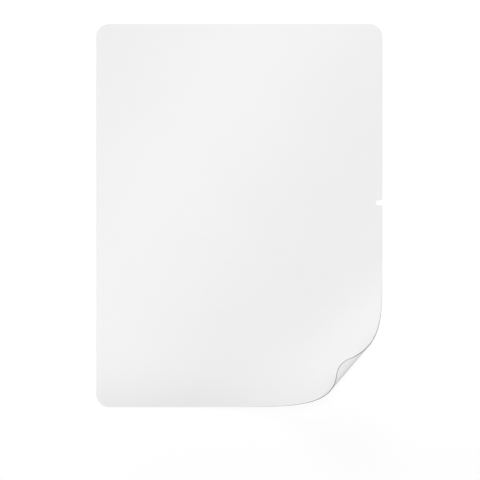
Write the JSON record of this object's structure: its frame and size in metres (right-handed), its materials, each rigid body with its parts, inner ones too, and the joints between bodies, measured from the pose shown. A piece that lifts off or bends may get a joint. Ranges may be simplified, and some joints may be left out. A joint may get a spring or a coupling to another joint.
{
  "type": "tablet screen protector film",
  "caption": "Thin matte film with rounded corners and a small camera notch in one long edge, for the front glass of a tablet; one corner is curled up and over.",
  "frame": {"origin": "centre of the flat film, on its adhesive face, which is the plane it lies on", "axes": "+X across the film towards the edge with the camera notch, +Y up the film away from the curled corner, +Z out of the matte face"},
  "size_m": [0.2056, 0.275, 0.0482],
  "materials": {
    "film": "fine matte, paper-like"
  },
  "bodies": {
    "root": {"film": "film"}
  },
  "joints": []
}
